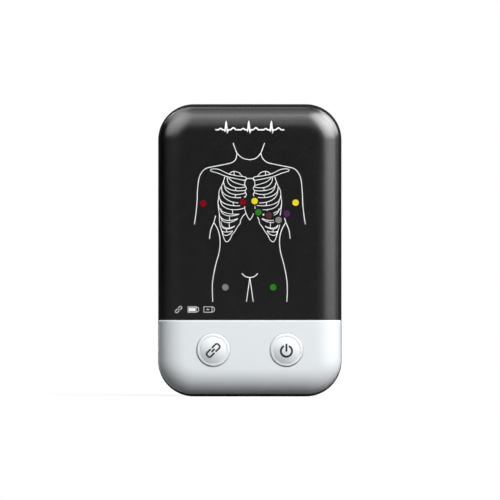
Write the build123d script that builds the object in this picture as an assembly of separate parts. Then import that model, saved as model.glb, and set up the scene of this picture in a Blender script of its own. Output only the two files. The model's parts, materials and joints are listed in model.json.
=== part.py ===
from build123d import *
import math
import os

# Hand-held 12-lead ECG acquisition box, in millimetres.
# It stands on its flat lower end: +Z is up, the front faces -Y, and +X is to the viewer's right.
# The origin is the centre of the lower end, at the base, with the buttons counted in the depth.

# Casing outline and depth
HEIGHT = 110.0
WIDTH = 69.0
DEPTH = 24.0
CORNER_R = 13.4
BACK_ROUND = 3.5
WALL = 2.6
PARTING_DEPTH = 6.5

# Front covers: the edge rolls over on a quarter ellipse
COVER_WALL = 2.0
ROLL_IN = 9.5
ROLL_DEEP = 6.0
SEAM_Z = 28.75
SEAM_GAP = 0.05
SEAM_CHAMFER = 0.3
UPPER_SET_BACK = 0.3
UPPER_RIM = 0.65
LOWER_SIDE_RIM = 0.2
LOWER_END_RIM = 0.8
RIM_ROUND = 0.25

# Lap of the lower cover under the upper one
LAP_UP = 1.8
LAP_DOWN = 2.5
LAP_THICK = 1.0
FIT_GAP = 0.05
SNUG_FIT = 0.02

# Tongue of the covers inside the rear shell, and the seal between them
TONGUE_THICK = 0.8
TONGUE_DEEP = 1.3
TONGUE_ROOT = 1.2
TONGUE_GAP = 0.1
SEAL_FROM_EDGE = 1.1
SEAL_WIDTH = 0.7
SEAL_DEEP = 0.65

# Housing screws, from the back into brass inserts
SCREW_R = 1.25
SCREW_HEAD_R = 2.25
SCREW_HEAD_TALL = 1.6
SCREW_SOCKET_R = 1.0
SCREW_SOCKET_DEEP = 0.9
SCREW_HOLE_GAP = 0.2
SCREW_SUNK = 6.0
HEAD_GAP = 0.35
INSERT_R = 1.75
INSERT_LONG = 4.0
BOSS_R = 3.8
COVER_BOSS_R = 3.4
BOSS_BITE = 0.2
BOSS_SPLIT_DEEP = 10.0
BOSS_ABOVE_SEAM = 9.25
BOSS_BELOW_NUTS = 1.6
CORNER_BOSS_ANGLE = 36.0

# Buttons
BUTTON_FROM_SIDE = 20.75
BUTTON_BELOW_SEAM = 11.25
BUTTON_R = 6.25
BUTTON_RIM_IN = 1.1
BUTTON_RIM_ROUND = 0.6
BUTTON_RIM_FALL = 0.05
BUTTON_GROOVE_WIDE = 0.2
BUTTON_GROOVE_DEEP = 0.15
BUTTON_PROUD = 0.45
BUTTON_DOME = 0.8
BUTTON_GAP = 0.12
BUTTON_TRAVEL = 0.5
BUTTON_WALL = 1.2
BUTTON_FLANGE_OUT = 1.2
BUTTON_FLANGE_THICK = 0.8
BUTTON_REST_GAP = 0.1
BUTTON_POST_R = 1.6
COLLAR_GAP = 0.3
COLLAR_WALL = 1.2
COLLAR_TALL = 1.8
KEY_WIDE = 2.0
KEY_OUT = 0.9
KEY_GAP = 0.15
SEAL_RING_HALF = 0.33
SEAL_RING_FROM_FACE = 1.2

# Key switches
SWITCH_SIDE = 6.2
SWITCH_TALL = 3.1
PLUNGER_R = 1.7
PLUNGER_OUT = 1.0
PLUNGER_IN = 0.7
PLUNGER_GAP = 0.1

# Electrode windows
WINDOW_R = 1.2
WINDOW_FIT = 0.03
WINDOW_FLANGE_R = 1.85
WINDOW_FLANGE_THICK = 0.6

# Arm electrodes: distance from the side and from the top
RIGHT_ARM = (17.0, 37.4)
LEFT_ARM = (17.3, 37.1)

# Chest electrodes 1 to 6: x from the middle, and distance from the top
CHEST = ((-2.5, 36.8), (1.8, 36.5), (3.2, 40.7), (7.2, 41.9), (10.8, 43.6), (13.9, 41.2))

# Leg electrodes: x from the middle, and height above the seam
RIGHT_LEG = (-9.2, 12.35)
LEFT_LEG = (8.8, 12.35)

# Light baffle and lamps
BAFFLE_PAST_SIDE = 3.0
BAFFLE_PAST_END = 3.5
BAFFLE_ROUND = 2.0
BAFFLE_PLATE = 1.0
BAFFLE_TUBE_R = 1.9
BAFFLE_BORE_R = 1.2
LAMP_LONG = 1.6
LAMP_WIDE = 0.8
LAMP_TALL = 0.6

# Status signs: distance from the side and width of each lit pad
STATUS_ABOVE_SEAM = 4.05
STATUS_TALL = 2.8
STATUS_SIGNS = ((7.8, 3.0), (13.1, 5.0), (19.1, 5.0))
STATUS_SKIN = 0.8
STATUS_BAR_THICK = 0.9
STATUS_LEG_R = 1.2
STATUS_FIT = 0.1
LAMP_AIR = 0.2

# Front board, which carries the keys and lamps
FRONT_BOARD_BACK = 6.8
FRONT_BOARD_THICK = 1.2
FRONT_BOARD_PAST_BAFFLE = 3.0
BOARD_GAP = 0.5
NOTCH_GAP = 0.6
FRONT_POST_R = 2.0
FRONT_POST_GAP = 1.5
FRONT_POST_BELOW_TOP = 5.0
FRONT_POST_ABOVE_SEAM = 18.25
FRONT_POST_BELOW_SEAM = 4.75
FRONT_POST_BELOW_KEYS = 7.0

# Small board screws
BOARD_SCREW_R = 0.8
BOARD_SCREW_HEAD_R = 1.7
BOARD_SCREW_HEAD_TALL = 1.1
BOARD_SCREW_BITE = 3.2
BOARD_HOLE_GAP = 0.2
PILOT_SPARE = 0.5

# Main board
MAIN_BOARD_DEEP = 14.0
MAIN_BOARD_THICK = 1.6
MAIN_BOARD_LOW_Z = 3.6
MAIN_BOARD_EDGE_GAP = 0.9
MAIN_POST_R = 2.4
MAIN_POST_GAP = 2.1
MAIN_POST_LOW_Z = 29.0
MAIN_POST_BELOW_TOP = 14.0

# Patient lead socket: standard 15-way D-shaped socket, sunk in the upper end
LEAD_X = 0.0
D_WIDE = 24.66
D_TALL = 7.9
D_SIDE_ANGLE = 10.0
D_ROUND = 2.5
D_SKIN = 0.4
D_STANDS = 6.0
FLANGE_WIDE = 39.14
FLANGE_TALL = 12.55
FLANGE_ROUND = 1.5
FLANGE_THICK = 1.0
SOCKET_SUNK = 0.6
PLUG_ROOM = 1.5
SOCKET_BLOCK_MARGIN = 1.7
HEX_SPACING = 33.32
HEX_ACROSS_FLATS = 4.76
HEX_LONG = 4.8
HEX_HOLE_R = 3.2
HEX_WEB = 1.2
THREAD_BORE_R = 1.2
THREAD_BORE_DEEP = 4.4
STUD_R = 1.42
STUD_PAST_NUT = 0.1
STUD_GAP = 0.13
NUT_ACROSS_FLATS = 6.35
NUT_TALL = 2.4
INSULATOR_WIDE = 24.4
INSULATOR_TALL = 7.6
INSULATOR_BACK = 4.0
INSULATOR_FIT = 0.05
INSULATOR_SUNK = 0.2
CONTACT_PITCH = 2.77
CONTACT_ROWS_APART = 2.84
CONTACT_COUNTS = (8, 7)
CONTACT_SIDE = 0.64
CONTACT_FIT = 0.04
CONTACT_ENTRY_R = 0.55
CONTACT_ENTRY_DEEP = 5.0
TAIL_LONG = 2.6
BOARD_BELOW_SOCKET = 0.4

# Charging port: reversible receptacle in the lower end
PORT_WIDE = 8.94
PORT_TALL = 3.26
PORT_SKIN = 0.3
PORT_LONG = 7.3
PORT_MOUTH_Z = 1.0
PORT_BACK = 0.4
PORT_GAP = 0.18
PORT_TONGUE_WIDE = 6.7
PORT_TONGUE_THICK = 0.7
PORT_TONGUE_SHORT = 2.0
PORT_TONGUE_BASE = 1.0
PLUG_BODY_WIDE = 12.8
PLUG_BODY_TALL = 7.0

# Battery, its cradle, leads and connector
BATTERY_WIDE = 34.0
BATTERY_LOW_Z = 14.0
BATTERY_AIR = 0.7
BATTERY_ROUND = 1.5
PAD_THICK = 0.5
PAD_MARGIN = 4.0
CRADLE_RIB = 1.2
CRADLE_TALL = 3.0
CRADLE_GAP = 0.3
CRADLE_SHARE = 0.7
LEAD_R = 0.6
LEAD_PAIR = 2.5
LEAD_LEAVES_X = 5.0
LEAD_RUN = 3.0
LEAD_BEND = 0.45
LEAD_HEIGHT = 2.6
PLUG_SIZE = (5.8, 3.8, 3.5)
HEADER_SIZE = (7.4, 5.0, 4.5)
HEADER_BELOW_TOP = 17.0

# Parts at the main board's upper end: x, distance below its edge, width, height and thickness
FRONT_END_CAN = (0.0, 16.0, 32.0, 22.0, 2.6)
FRONT_END_CHIP = (0.0, 16.0, 10.0, 10.0, 1.0)
CAN_SKIN = 0.3

# Link between the boards: width, height, and distance below the front board's edge
LINK_SIZE = (16.0, 3.4)
LINK_BELOW_TOP = 16.0
LINK_SOCKET_TALL = 3.2

# Parts below that link: x, distance below it, width, height and thickness
PROCESSOR = (9.0, 14.0, 10.0, 10.0, 1.0)
RADIO_BOARD = (-12.0, 18.0, 13.0, 18.0, 0.8)
RADIO_CAN = (-12.0, 16.0, 10.6, 12.0, 1.7)

# Sounder at the main board's upper end
SOUNDER_X = -13.0
SOUNDER_BELOW_TOP = 10.0
SOUNDER_R = 4.5
SOUNDER_TALL = 3.5
SOUNDER_PORT_R = 0.8
SOUNDER_PORT_DEEP = 1.0

# Places worked out from the sizes above
FRONT_Y = (BUTTON_PROUD + BUTTON_DOME - DEPTH) / 2
BACK_Y = FRONT_Y + DEPTH
BOSS_SPLIT_Y = FRONT_Y + BOSS_SPLIT_DEEP
MAIN_BOARD_Y = FRONT_Y + MAIN_BOARD_DEEP
UPPER_FACE_Y = FRONT_Y + UPPER_SET_BACK
PARTING_Y = FRONT_Y + PARTING_DEPTH
INNER_BACK_Y = BACK_Y - WALL
COVER_INNER_Y = FRONT_Y + COVER_WALL
UPPER_INNER_Y = UPPER_FACE_Y + COVER_WALL
FRONT_BOARD_Y = FRONT_Y + FRONT_BOARD_BACK
FRONT_BOARD_REAR_Y = FRONT_BOARD_Y + FRONT_BOARD_THICK
MAIN_FRONT_Y = MAIN_BOARD_Y - MAIN_BOARD_THICK / 2
MAIN_REAR_Y = MAIN_BOARD_Y + MAIN_BOARD_THICK / 2
HEAD_SEAT_Y = BACK_Y - SCREW_SUNK
TONGUE_FROM_EDGE = WALL + TONGUE_GAP
SOCKET_TOP_Z = HEIGHT - SOCKET_SUNK
FLANGE_FRONT_Z = SOCKET_TOP_Z - D_STANDS
FLANGE_BACK_Z = FLANGE_FRONT_Z - FLANGE_THICK
SOCKET_BACK_Z = FLANGE_BACK_Z - INSULATOR_BACK
MAIN_BOARD_TOP_Z = SOCKET_BACK_Z - BOARD_BELOW_SOCKET
SOCKET_BLOCK_HALF_W = FLANGE_WIDE / 2 + SOCKET_BLOCK_MARGIN
PORT_Y = MAIN_FRONT_Y - PORT_TALL / 2
WINDOW_BACK_Y = UPPER_INNER_Y + WINDOW_FLANGE_THICK
BATTERY_BACK_Y = INNER_BACK_Y - PAD_THICK
BATTERY_FRONT_Y = MAIN_REAR_Y + BATTERY_AIR
HEADER_LOW_Z = MAIN_BOARD_TOP_Z - HEADER_BELOW_TOP - HEADER_SIZE[2]
BATTERY_PLUG_Z = HEADER_LOW_Z - PLUG_SIZE[2]
BATTERY_TOP_Z = BATTERY_PLUG_Z - 3 * LEAD_RUN
BATTERY_TALL = BATTERY_TOP_Z - BATTERY_LOW_Z
BATTERY_Z = BATTERY_LOW_Z + BATTERY_TALL / 2
LEAD_Y = MAIN_REAR_Y + LEAD_HEIGHT
SWITCH_FRONT_Y = FRONT_BOARD_Y - SWITCH_TALL
PLUNGER_FRONT_Y = SWITCH_FRONT_Y - PLUNGER_OUT
STATUS_Z = SEAM_Z + STATUS_ABOVE_SEAM
STATUS_PADS = [(from_side - WIDTH / 2, wide) for from_side, wide in STATUS_SIGNS]
BUTTON_X = WIDTH / 2 - BUTTON_FROM_SIDE
BUTTON_Z = SEAM_Z - BUTTON_BELOW_SEAM
LINK_PLACE = (-BUTTON_X, BUTTON_Z)
POWER_PLACE = (BUTTON_X, BUTTON_Z)
BUTTON_PLACES = (LINK_PLACE, POWER_PLACE)

# Electrode windows: name, x and z on the front
ELECTRODES = {
    "right_arm": (RIGHT_ARM[0] - WIDTH / 2, HEIGHT - RIGHT_ARM[1]),
    "left_arm": (WIDTH / 2 - LEFT_ARM[0], HEIGHT - LEFT_ARM[1]),
    "right_leg": (RIGHT_LEG[0], SEAM_Z + RIGHT_LEG[1]),
    "left_leg": (LEFT_LEG[0], SEAM_Z + LEFT_LEG[1]),
}
for number, (x, below_top) in enumerate(CHEST, start=1):
    ELECTRODES["chest_" + str(number)] = (x, HEIGHT - below_top)

# Baffle round the windows, and the front board past it
BAFFLE_HALF_W = max(abs(x) for x, z in ELECTRODES.values()) + BAFFLE_PAST_SIDE
BAFFLE_LOW_Z = min(z for x, z in ELECTRODES.values()) - BAFFLE_PAST_END
BAFFLE_HIGH_Z = max(z for x, z in ELECTRODES.values()) + BAFFLE_PAST_END
FRONT_BOARD_TOP_Z = BAFFLE_HIGH_Z + FRONT_BOARD_PAST_BAFFLE
LINK_Z = FRONT_BOARD_TOP_Z - LINK_BELOW_TOP
LINK_SPLIT_Y = MAIN_FRONT_Y - LINK_SOCKET_TALL
RADIO_BASE_Y = MAIN_FRONT_Y - RADIO_BOARD[4]


def both_sides(x, z):
    """A place on the right and its match on the left."""
    return [(-x, z), (x, z)]


def front_posts():
    """Centres of the front board's screws: two pairs beside the baffle, and two between the keys."""
    post_x = BAFFLE_HALF_W + FRONT_POST_GAP + FRONT_POST_R
    upper = both_sides(post_x, FRONT_BOARD_TOP_Z - FRONT_POST_BELOW_TOP)
    middle = both_sides(post_x, SEAM_Z + FRONT_POST_ABOVE_SEAM)
    lower = [(0, BUTTON_Z - FRONT_POST_BELOW_KEYS), (0, SEAM_Z - FRONT_POST_BELOW_SEAM)]
    return upper + middle + lower


def main_posts():
    """Centres of the main board's screws, beside the battery's cradle."""
    post_x = BATTERY_WIDE / 2 + CRADLE_GAP + CRADLE_RIB + MAIN_POST_GAP + MAIN_POST_R
    low_pair = both_sides(post_x, MAIN_POST_LOW_Z)
    return low_pair + both_sides(post_x, MAIN_BOARD_TOP_Z - MAIN_POST_BELOW_TOP)


FRONT_POSTS = front_posts()
MAIN_POSTS = main_posts()


def slab(outline, front_y, back_y):
    """Prism of an outline drawn in x and z, between two depths."""
    return extrude(Plane.XZ.offset(-back_y) * outline, back_y - front_y)


def column(outline, low_z, high_z):
    """Prism of an outline drawn in x and y, between two heights."""
    return extrude(Plane.XY.offset(low_z) * outline, high_z - low_z)


def rod(x, z, radius, front_y, back_y):
    """Round bar that runs from front to back."""
    return slab(Pos(x, z) * Circle(radius), front_y, back_y)


def brick(x, z, wide, tall, front_y, back_y):
    """Rectangular block, centred on x and z."""
    return slab(Pos(x, z) * Rectangle(wide, tall), front_y, back_y)


def group(solids):
    """Several separate solids as one piece."""
    return Compound(children=list(solids))


def hexagon(across_flats):
    """Hexagon by its width across flats."""
    return RegularPolygon(across_flats / 2 / math.cos(math.radians(30)), 6)


def casing_outline(inset):
    """Outline of the casing seen from the front, drawn in by a distance."""
    shape = RectangleRounded(WIDTH - 2 * inset, HEIGHT - 2 * inset, CORNER_R - inset)
    return Pos(0, HEIGHT / 2) * shape


def rolled_block(side_rim, end_rim, face_y, inset):
    """Rounded block up to the parting plane, drawn in by a distance, with an elliptical front edge."""
    wide = WIDTH - 2 * (side_rim + inset)
    tall = HEIGHT - 2 * (end_rim + inset)
    corner = CORNER_R - (side_rim + end_rim) / 2 - inset
    roll_in = ROLL_IN - inset
    roll_deep = ROLL_DEEP - inset
    front_y = face_y + inset
    shoulder_y = front_y + roll_deep
    outer = Pos(0, HEIGHT / 2) * RectangleRounded(wide, tall, corner)
    inner = Pos(0, HEIGHT / 2) * RectangleRounded(wide - 2 * roll_in, tall - 2 * roll_in, corner - roll_in)
    path = (Plane.XZ.offset(-shoulder_y) * inner).wire()
    start = path @ 0
    along = path % 0
    outward = along.cross(Vector(0, 1, 0))
    if outward.dot(start - Vector(0, shoulder_y, HEIGHT / 2)) < 0:
        outward = outward * -1
    section_plane = Plane(origin=start, x_dir=outward, z_dir=along)
    towards_front = -1 if section_plane.y_dir.Y > 0 else 1
    tip = (0, towards_front * roll_deep)
    arc = EllipticalCenterArc((0, 0), roll_in, roll_deep, 0, arc_size=90 * towards_front)
    section = make_face([Line((0, 0), (roll_in, 0)), arc, Line(tip, (0, 0))])
    edge = sweep(section_plane * section, path=path)
    return slab(outer, shoulder_y, PARTING_Y) + slab(inner, front_y, shoulder_y) + edge


def upper_block(inset):
    """The upper cover's outer form, drawn in by a distance."""
    return rolled_block(UPPER_RIM, UPPER_RIM, UPPER_FACE_Y, inset)


def lower_block(inset):
    """The lower cover's outer form, drawn in by a distance."""
    return rolled_block(LOWER_SIDE_RIM, LOWER_END_RIM, FRONT_Y, inset)


def between_heights(low_z, high_z):
    """Block that holds everything between two heights."""
    room = 2 * (WIDTH + DEPTH)
    return column(Rectangle(room, room), low_z, high_z)


ABOVE_SEAM = between_heights(SEAM_Z, 2 * HEIGHT)
BELOW_SEAM = between_heights(-HEIGHT, SEAM_Z - SEAM_GAP)


def boss_places():
    """Centres of the housing screws: lower corners, above the seam, and below the lead socket."""
    from_edge = WALL - BOSS_BITE + BOSS_R
    reach = CORNER_R - from_edge
    angle = math.radians(CORNER_BOSS_ANGLE)
    corner_x = WIDTH / 2 - CORNER_R + reach * math.cos(angle)
    rise = CORNER_R - reach * math.sin(angle)
    side_x = WIDTH / 2 - from_edge
    upper_z = FLANGE_BACK_Z - NUT_TALL - STUD_PAST_NUT - BOSS_BELOW_NUTS - BOSS_R
    lower = both_sides(corner_x, rise)
    return lower + both_sides(side_x, SEAM_Z + BOSS_ABOVE_SEAM) + both_sides(side_x, upper_z)


BOSSES = boss_places()


def cover_tongue():
    """Ring on the covers that locates them inside the rear shell, cut away at the lead socket."""
    inner = casing_outline(TONGUE_FROM_EDGE + TONGUE_THICK)
    root = casing_outline(SEAL_FROM_EDGE) - inner
    tongue = casing_outline(TONGUE_FROM_EDGE) - inner
    ring = slab(root, PARTING_Y - TONGUE_ROOT, PARTING_Y)
    ring += slab(tongue, PARTING_Y, PARTING_Y + TONGUE_DEEP)
    cut_wide = 2 * (SOCKET_BLOCK_HALF_W + BOARD_GAP)
    ring -= brick(0, HEIGHT, cut_wide, CORNER_R, PARTING_Y, BACK_Y)
    return ring


def cover_posts(places, block):
    """Screw posts for the front board, kept inside the cover's skin."""
    posts = [rod(x, z, FRONT_POST_R, FRONT_Y, FRONT_BOARD_Y) for x, z in places]
    return [post & block for post in posts]


def drill_front_posts(cover, places):
    """Pilot holes for the front board's screws."""
    deep = BOARD_SCREW_BITE + PILOT_SPARE
    for x, z in places:
        cover -= rod(x, z, BOARD_SCREW_R + SNUG_FIT, FRONT_BOARD_Y - deep, FRONT_BOARD_Y)
    return cover


def add_screw_bosses(cover, places, block):
    """Bosses with holes for the threaded inserts, kept inside the cover's skin."""
    skin = block + slab(casing_outline(TONGUE_FROM_EDGE), PARTING_Y, BOSS_SPLIT_Y)
    for x, z in places:
        cover += rod(x, z, COVER_BOSS_R, FRONT_Y, BOSS_SPLIT_Y) & skin
    for x, z in places:
        deep = INSERT_LONG + PILOT_SPARE
        cover -= rod(x, z, INSERT_R + SNUG_FIT, BOSS_SPLIT_Y - deep, BOSS_SPLIT_Y)
    return cover


def status_guide(spare=0.0):
    """Clear light guide: a pad behind each status sign, one bar, and a leg to each lamp."""
    tall = STATUS_TALL + 2 * spare
    left = STATUS_PADS[0][0] - STATUS_PADS[0][1] / 2
    right = STATUS_PADS[-1][0] + STATUS_PADS[-1][1] / 2
    bar_back_y = UPPER_INNER_Y + STATUS_BAR_THICK
    pad_front_y = UPPER_FACE_Y + STATUS_SKIN - spare
    bar_wide = right - left + 2 * spare
    guide = brick((left + right) / 2, STATUS_Z, bar_wide, tall, UPPER_INNER_Y - spare, bar_back_y)
    for x, wide in STATUS_PADS:
        guide += brick(x, STATUS_Z, wide + 2 * spare, tall, pad_front_y, bar_back_y)
        guide += rod(x, STATUS_Z, STATUS_LEG_R, bar_back_y, FRONT_BOARD_Y - LAMP_TALL - LAMP_AIR)
    return guide


def upper_front_cover():
    """Gloss black cover with window holes, screw bosses and board posts."""
    block = upper_block(COVER_WALL / 2)
    posts = [place for place in FRONT_POSTS if place[1] > SEAM_Z]
    bosses = [place for place in BOSSES if place[1] > SEAM_Z]
    cover = upper_block(0) - upper_block(COVER_WALL)
    cover += cover_tongue()
    cover += cover_posts(posts, block)
    cover = add_screw_bosses(cover, bosses, block)
    cover = drill_front_posts(cover, posts)
    cover &= ABOVE_SEAM
    for x, z in ELECTRODES.values():
        cover -= rod(x, z, WINDOW_R + WINDOW_FIT, FRONT_Y, UPPER_INNER_Y)
    cover -= status_guide(STATUS_FIT)
    return cover


def seam_lap():
    """Band and tongue of the lower cover that pass behind the upper cover at the seam."""
    low_z = SEAM_Z - SEAM_GAP - LAP_DOWN
    band = lower_block(COVER_WALL / 2) - upper_block(COVER_WALL + FIT_GAP + LAP_THICK)
    band &= between_heights(low_z, SEAM_Z - SEAM_GAP)
    tongue = upper_block(COVER_WALL + FIT_GAP) - upper_block(COVER_WALL + FIT_GAP + LAP_THICK)
    tongue &= between_heights(low_z, SEAM_Z + LAP_UP)
    tongue &= slab(casing_outline(0), FRONT_Y, PARTING_Y - TONGUE_ROOT - FIT_GAP)
    return band + tongue


FLANGE_R = BUTTON_R + BUTTON_FLANGE_OUT
FLANGE_FRONT_Y = COVER_INNER_Y + BUTTON_REST_GAP
FLANGE_REAR_Y = FLANGE_FRONT_Y + BUTTON_FLANGE_THICK
SEAL_RING_Y = FRONT_Y + SEAL_RING_FROM_FACE
SEAL_RING_R = BUTTON_R + FIT_GAP + SEAL_RING_HALF


def button_collars():
    """Guide rings behind the button holes, with a slot for each button's key."""
    inner_r = FLANGE_R + COLLAR_GAP
    outer_r = inner_r + COLLAR_WALL
    rear_y = COVER_INNER_Y + COLLAR_TALL
    collars = Part()
    for x, z in BUTTON_PLACES:
        collars += rod(x, z, outer_r, COVER_INNER_Y - COVER_WALL / 2, rear_y)
    for x, z in BUTTON_PLACES:
        collars -= rod(x, z, inner_r, COVER_INNER_Y, rear_y)
        collars -= brick(x, z + outer_r, KEY_WIDE + 2 * KEY_GAP, 2 * outer_r, COVER_INNER_Y, rear_y)
    return collars


def lower_front_cover():
    """White cover with the two button holes."""
    block = lower_block(COVER_WALL / 2)
    posts = [place for place in FRONT_POSTS if place[1] < SEAM_Z]
    bosses = [place for place in BOSSES if place[1] < SEAM_Z]
    outer = lower_block(0) & BELOW_SEAM
    seam_edges = outer.edges().filter_by(lambda edge: abs(edge.center().Z - SEAM_Z + SEAM_GAP) < SEAM_GAP)
    shown = [edge for edge in seam_edges if edge.center().Y < PARTING_Y - RIM_ROUND]
    outer = chamfer(shown, SEAM_CHAMFER)
    shell = outer - lower_block(COVER_WALL)
    shell += cover_tongue() & BELOW_SEAM
    shell += cover_posts(posts, block)
    shell = add_screw_bosses(shell, bosses, block)
    shell = drill_front_posts(shell, posts)
    shell += seam_lap()
    shell += button_collars()
    groove_half = SEAL_RING_HALF + FIT_GAP
    for x, z in BUTTON_PLACES:
        shell -= rod(x, z, BUTTON_R + BUTTON_GAP, FRONT_Y, COVER_INNER_Y)
        groove_r = SEAL_RING_R + groove_half
        shell -= rod(x, z, groove_r, SEAL_RING_Y - groove_half, SEAL_RING_Y + groove_half)
    return shell


def d_outline(spare=0.0):
    """D-shaped outline of the lead socket, wide side to the front, grown by a distance."""
    half_wide = D_WIDE / 2
    lean = D_TALL * math.tan(math.radians(D_SIDE_ANGLE))
    corners = [
        (-half_wide, -D_TALL / 2),
        (half_wide, -D_TALL / 2),
        (half_wide - lean, D_TALL / 2),
        (lean - half_wide, D_TALL / 2),
    ]
    shape = make_face(Polyline(*corners, close=True))
    shape = fillet(shape.vertices(), D_ROUND)
    if spare:
        shape = offset(shape, spare)
    return Pos(LEAD_X, MAIN_BOARD_Y) * shape


def hex_places():
    """Centres of the lead socket's two hex posts, in x and y."""
    return [(LEAD_X + side * HEX_SPACING / 2, MAIN_BOARD_Y) for side in (-1, 1)]


def rear_shell():
    """Dark rear moulding with its lip, socket block, port opening, bosses, posts and cradle."""
    outer = slab(casing_outline(0), PARTING_Y, BACK_Y)
    back_edges = outer.edges().group_by(Axis.Y)[-1]
    outer = fillet(back_edges, BACK_ROUND)
    lip_edges = outer.edges().group_by(Axis.Y)[0]
    outer = fillet(lip_edges, RIM_ROUND)
    cavity = slab(casing_outline(WALL), PARTING_Y, INNER_BACK_Y)
    cavity = fillet(cavity.edges().group_by(Axis.Y)[-1], BACK_ROUND - WALL)
    shell = outer - cavity

    block_outline = Rectangle(2 * SOCKET_BLOCK_HALF_W, INNER_BACK_Y - PARTING_Y + WALL)
    block_y = (INNER_BACK_Y + PARTING_Y + WALL) / 2
    block = column(Pos(LEAD_X, block_y) * block_outline, FLANGE_FRONT_Z, HEIGHT - WALL / 2)
    shell += block & outer
    for x, z in BOSSES:
        shell += rod(x, z, BOSS_R, BOSS_SPLIT_Y, INNER_BACK_Y + WALL / 2) & outer
    for x, z in MAIN_POSTS:
        shell += rod(x, z, MAIN_POST_R, MAIN_REAR_Y, INNER_BACK_Y + WALL / 2)
    shell += battery_cradle()

    shell -= column(d_outline(PLUG_ROOM), FLANGE_FRONT_Z, HEIGHT)
    for x, y in hex_places():
        shell -= column(Pos(x, y) * Circle(HEX_HOLE_R), FLANGE_FRONT_Z + HEX_WEB, HEIGHT)
        shell -= column(Pos(x, y) * Circle(STUD_R + STUD_GAP), FLANGE_FRONT_Z, HEIGHT)
    plug_body = Pos(0, PORT_Y) * SlotOverall(PLUG_BODY_WIDE, PLUG_BODY_TALL)
    shell -= column(plug_body, 0, PORT_MOUTH_Z)
    port_hole = Pos(0, PORT_Y) * SlotOverall(PORT_WIDE + 2 * PORT_GAP, PORT_TALL + 2 * PORT_GAP)
    shell -= column(port_hole, 0, WALL)
    for x, z in BOSSES:
        shell -= rod(x, z, SCREW_R + SCREW_HOLE_GAP, BOSS_SPLIT_Y, BACK_Y)
        shell -= rod(x, z, SCREW_HEAD_R + HEAD_GAP, HEAD_SEAT_Y, BACK_Y)
    for x, z in MAIN_POSTS:
        deep = BOARD_SCREW_BITE + PILOT_SPARE
        shell -= rod(x, z, BOARD_SCREW_R + SNUG_FIT, MAIN_REAR_Y, MAIN_REAR_Y + deep)
    seal_outer = casing_outline(SEAL_FROM_EDGE)
    seal_inner = casing_outline(SEAL_FROM_EDGE + SEAL_WIDTH)
    shell -= slab(seal_outer - seal_inner, PARTING_Y, PARTING_Y + SEAL_DEEP)
    return shell


def battery_cradle():
    """Low ribs on the rear shell that hold the battery in place."""
    side_x = BATTERY_WIDE / 2 + CRADLE_GAP + CRADLE_RIB / 2
    end_away = BATTERY_TALL / 2 + CRADLE_GAP + CRADLE_RIB / 2
    front_y = INNER_BACK_Y - CRADLE_TALL
    back_y = INNER_BACK_Y + WALL / 2
    tall = BATTERY_TALL * CRADLE_SHARE
    wide = BATTERY_WIDE * CRADLE_SHARE
    ribs = []
    for side in (-1, 1):
        ribs.append(brick(side * side_x, BATTERY_Z, CRADLE_RIB, tall, front_y, back_y))
        ribs.append(brick(0, BATTERY_Z + side * end_away, wide, CRADLE_RIB, front_y, back_y))
    return ribs


def perimeter_seal():
    """Soft ring in the rear shell's groove, pressed by the covers."""
    half_gap = FIT_GAP / 2
    outer = casing_outline(SEAL_FROM_EDGE + half_gap)
    inner = casing_outline(SEAL_FROM_EDGE + SEAL_WIDTH - half_gap)
    return slab(outer - inner, PARTING_Y, PARTING_Y + SEAL_DEEP)


def housing_screws():
    """Pan-head screws in the back of the casing."""
    tip_y = BOSS_SPLIT_Y - INSERT_LONG
    screws = []
    for x, z in BOSSES:
        screw = rod(x, z, SCREW_HEAD_R, HEAD_SEAT_Y, HEAD_SEAT_Y + SCREW_HEAD_TALL)
        screw = chamfer(screw.edges().group_by(Axis.Y)[-1], SCREW_HEAD_TALL / 4)
        head_top_y = HEAD_SEAT_Y + SCREW_HEAD_TALL
        socket = Pos(x, z) * RegularPolygon(SCREW_SOCKET_R, 6)
        screw -= slab(socket, head_top_y - SCREW_SOCKET_DEEP, head_top_y)
        screws.append(screw + rod(x, z, SCREW_R, tip_y, HEAD_SEAT_Y))
    return group(screws)


def threaded_inserts():
    """Brass inserts in the covers' bosses."""
    front_y = BOSS_SPLIT_Y - INSERT_LONG
    inserts = []
    for x, z in BOSSES:
        sleeve = rod(x, z, INSERT_R, front_y, BOSS_SPLIT_Y)
        inserts.append(sleeve - rod(x, z, SCREW_R + SNUG_FIT, front_y, BOSS_SPLIT_Y))
    return group(inserts)


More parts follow.
